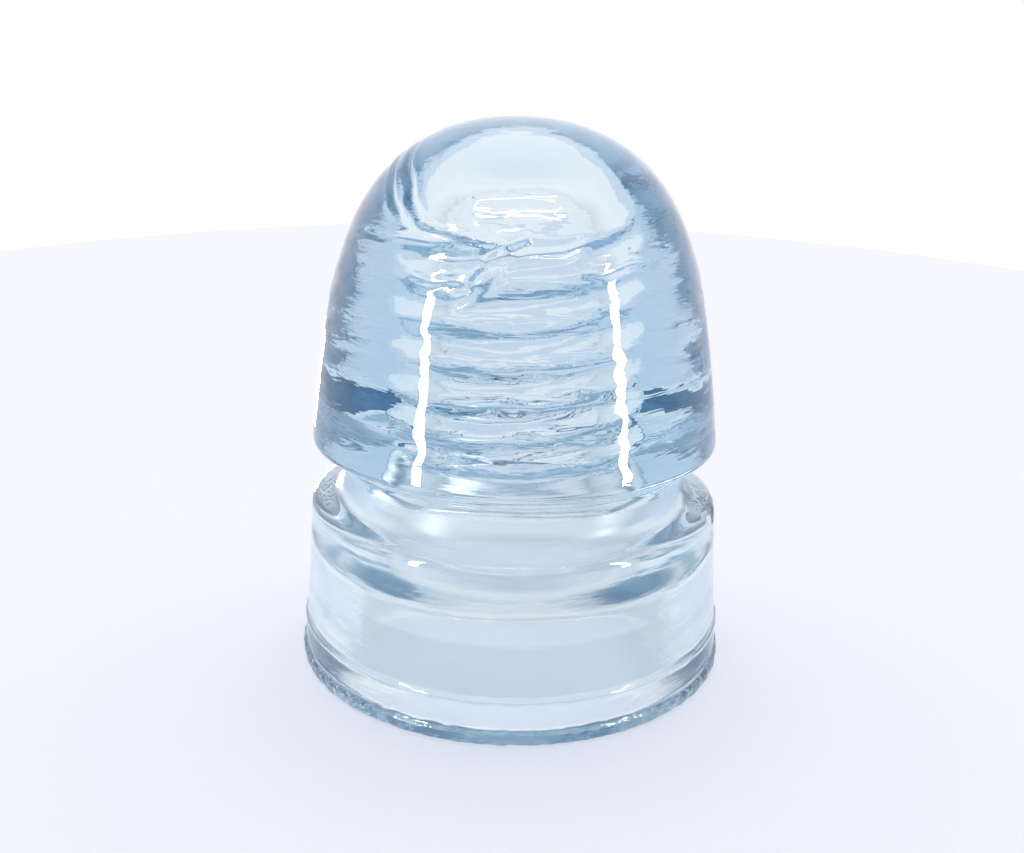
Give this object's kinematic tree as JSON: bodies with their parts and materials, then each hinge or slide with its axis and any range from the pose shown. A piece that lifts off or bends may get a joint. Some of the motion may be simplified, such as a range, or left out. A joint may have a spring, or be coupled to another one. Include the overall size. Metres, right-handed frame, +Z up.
{
  "type": "pin insulator",
  "caption": "Single-skirt pressed-glass pin insulator with a domed crown, side wire groove and threaded pinhole.",
  "frame": {"origin": "centre of the base, on the plane that the insulator stands on", "axes": "+Z up along the pin axis, from the base to the top of the crown"},
  "size_m": [0.0826, 0.0826, 0.1016],
  "materials": {
    "pressed_glass": "clear ice-blue pressed glass, smooth and slightly rippled, thicker parts bluer"
  },
  "bodies": {
    "root": {"glass_body": "pressed_glass"}
  },
  "joints": []
}
